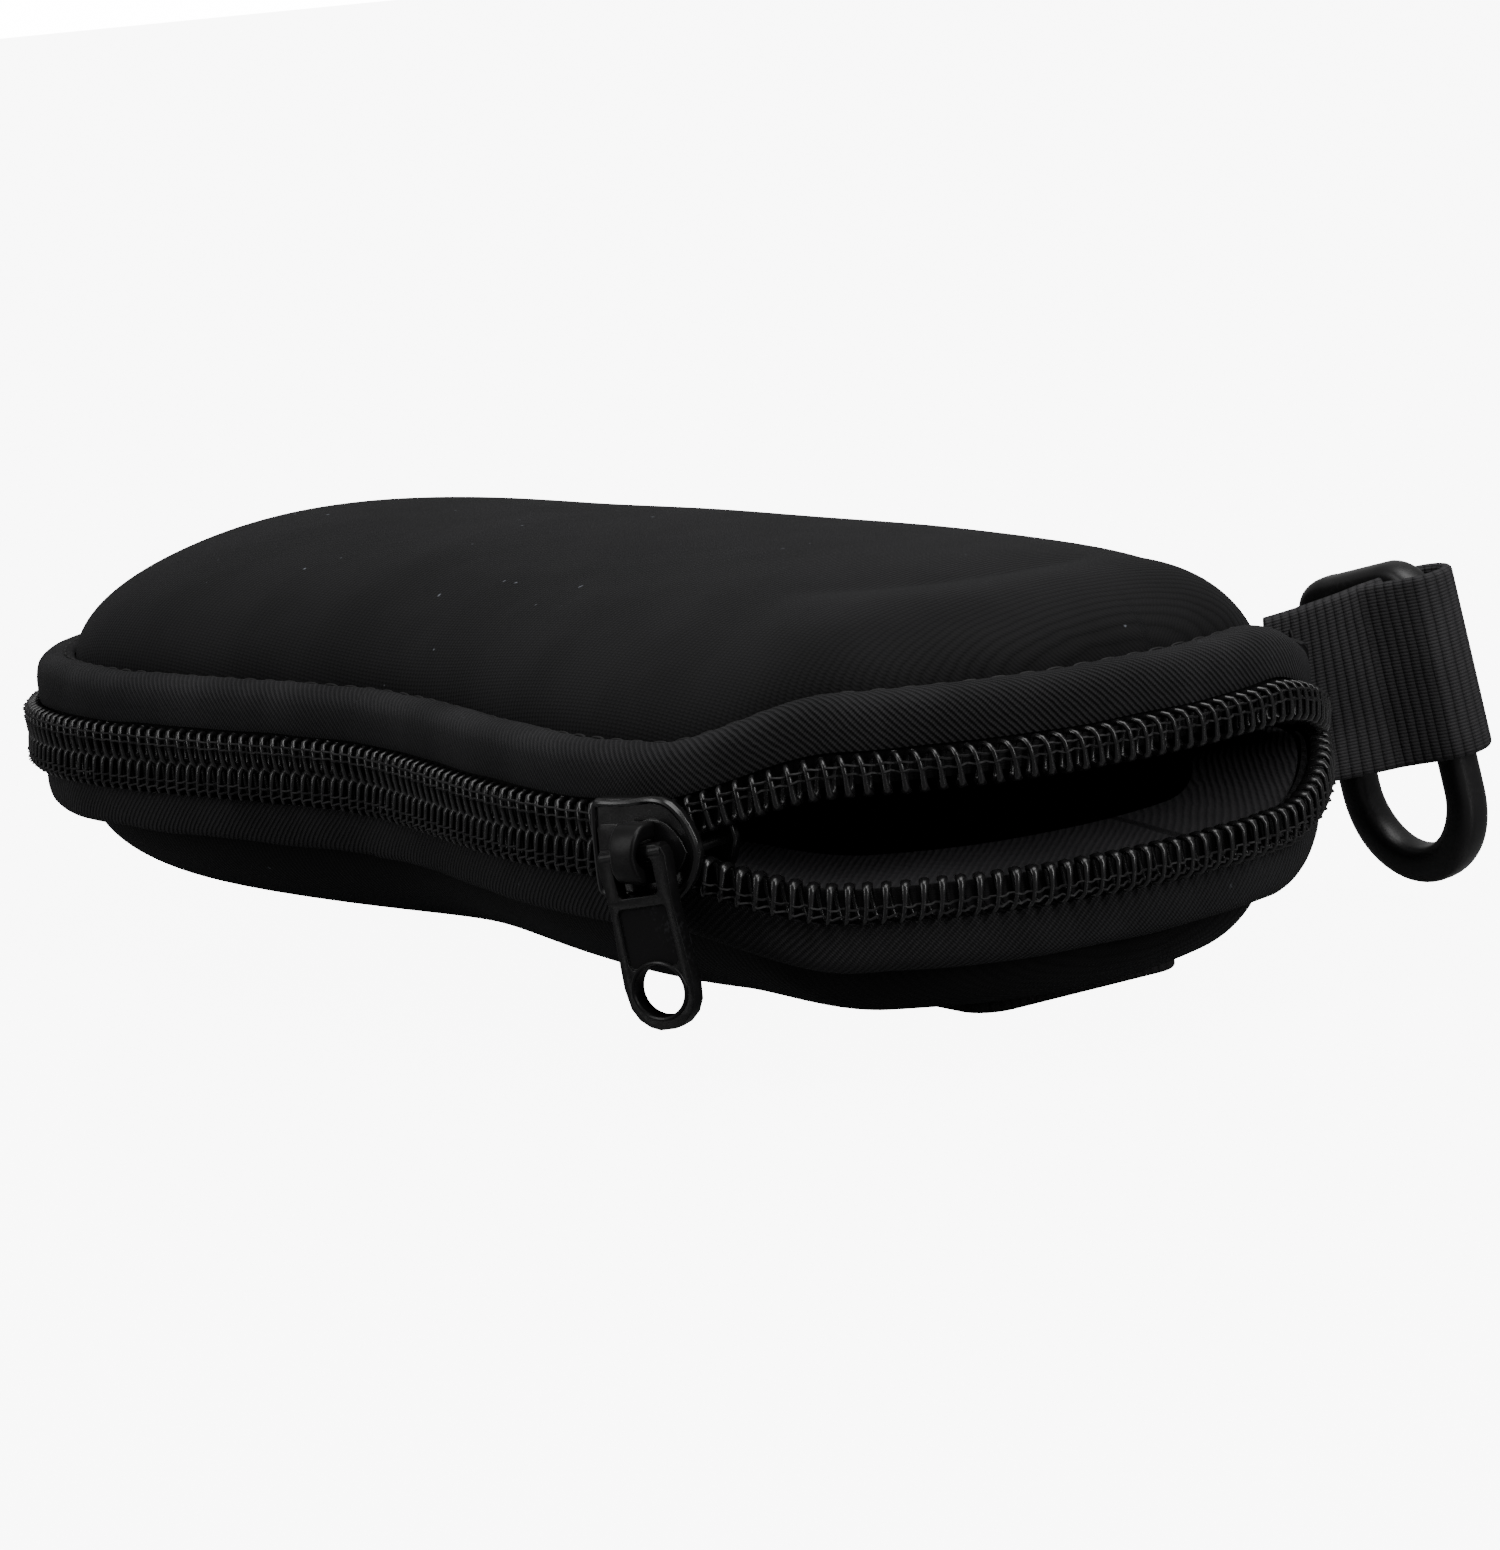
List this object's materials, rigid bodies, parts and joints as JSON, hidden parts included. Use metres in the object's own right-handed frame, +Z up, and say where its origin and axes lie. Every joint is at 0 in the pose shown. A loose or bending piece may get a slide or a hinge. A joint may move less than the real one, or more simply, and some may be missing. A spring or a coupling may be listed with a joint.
{
  "type": "eyeglasses case",
  "caption": "Kidney-shaped semi-hard eyeglasses case: two domed cloth-covered shells, coil zip part open at one end, flat belt loop, webbing strap and plastic clip.",
  "frame": {"origin": "on the flat belt loop that the case rests on, under the middle of the case's plan outline", "axes": "+X along the case toward the end with the strap and the open mouth, -Y toward the waisted front where the zip faces out, +Z up through the lid"},
  "size_m": [0.165, 0.0949, 0.0406],
  "materials": {
    "neoprene_jersey": "matt knitted jersey laminated on neoprene, a few pale lint specks",
    "moulded_foam": "pressed foam board, matt, hidden",
    "twill_lining": "fine woven twill, matt",
    "twill_binding": "woven twill tape, slight sheen on the rounded edge",
    "thread": "polyester thread, slight sheen",
    "zip_tape": "herringbone woven tape, matt",
    "nylon_coil": "semi-gloss nylon monofilament",
    "spine_cloth": "same jersey cloth as the shells",
    "webbing": "ribbed polyester webbing, matt",
    "slider_metal": "glossy black enamel on die-cast metal",
    "pull_tab_metal": "glossy black enamel, dusty in the sunk field",
    "clip_plastic": "satin moulded plastic",
    "pin_steel": "small plain steel pin"
  },
  "bodies": {
    "base": {"lower_cover": "neoprene_jersey", "lower_shell_core": "moulded_foam", "lower_lining": "twill_lining", "lower_binding": "twill_binding", "lower_binding_stitching": "thread", "lower_zip_tape": "zip_tape", "lower_zip_coil": "nylon_coil", "spine_gusset": "spine_cloth", "spine_stitching": "thread", "belt_loop": "webbing", "belt_loop_stitching": "thread", "strap_anchor": "webbing"},
    "lid": {"upper_cover": "neoprene_jersey", "upper_shell_core": "moulded_foam", "upper_lining": "twill_lining", "upper_binding": "twill_binding", "upper_binding_stitching": "thread", "upper_zip_tape": "zip_tape", "upper_zip_coil": "nylon_coil"},
    "slider": {"slider_body": "slider_metal", "slider_crown": "slider_metal"},
    "tab": {"pull_tab": "pull_tab_metal"},
    "strap": {"strap_loop": "webbing", "strap_stitching": "thread"},
    "clip": {"clip_frame": "clip_plastic", "clip_gate_pin": "pin_steel", "clip_gate_spring": "clip_plastic"},
    "gate": {"clip_gate": "clip_plastic"}
  },
  "joints": [
    {"name": "lid_hinge", "type": "hinge", "parent": "base", "child": "lid", "pos_m": [0, 0.03625, 0.021], "axis": [-1, 0, 0], "range_deg": [0, 60], "deforming": ["spine_gusset", "spine_stitching", "strap_anchor", "upper_zip_tape", "upper_zip_coil"]},
    {"name": "slider_travel", "type": "hinge", "parent": "base", "child": "slider", "pos_m": [0.046, -0.003, 0.021], "axis": [0, 0, 1], "range_deg": [-15, 25], "deforming": ["upper_zip_tape", "lower_zip_tape", "upper_zip_coil", "lower_zip_coil"]},
    {"name": "pull_tab_swing", "type": "hinge", "parent": "slider", "child": "tab", "pos_m": [0.05889, -0.04044, 0.021], "axis": [-0.9455, -0.3256, 0], "range_deg": [0, 170]},
    {"name": "strap_swing", "type": "hinge", "parent": "base", "child": "strap", "pos_m": [0.06003, 0.04313, 0.02275], "axis": [0, 0, 1], "range_deg": [-45, 6], "deforming": ["strap_anchor"]},
    {"name": "clip_swivel", "type": "hinge", "parent": "strap", "child": "clip", "pos_m": [0.06307, 0.04763, 0.02361], "axis": [-0.0875, -0.1297, 0.9877], "range_deg": [-130, 4]},
    {"name": "clip_gate_push", "type": "hinge", "parent": "clip", "child": "gate", "pos_m": [0.04811, 0.0471, 0.02698], "axis": [0.0057, -0.9915, -0.1297], "range_deg": [0, 22], "stiffness_Nm_per_rad": 0.01, "springref_deg": -11.46, "deforming": ["clip_gate_spring"]}
  ]
}
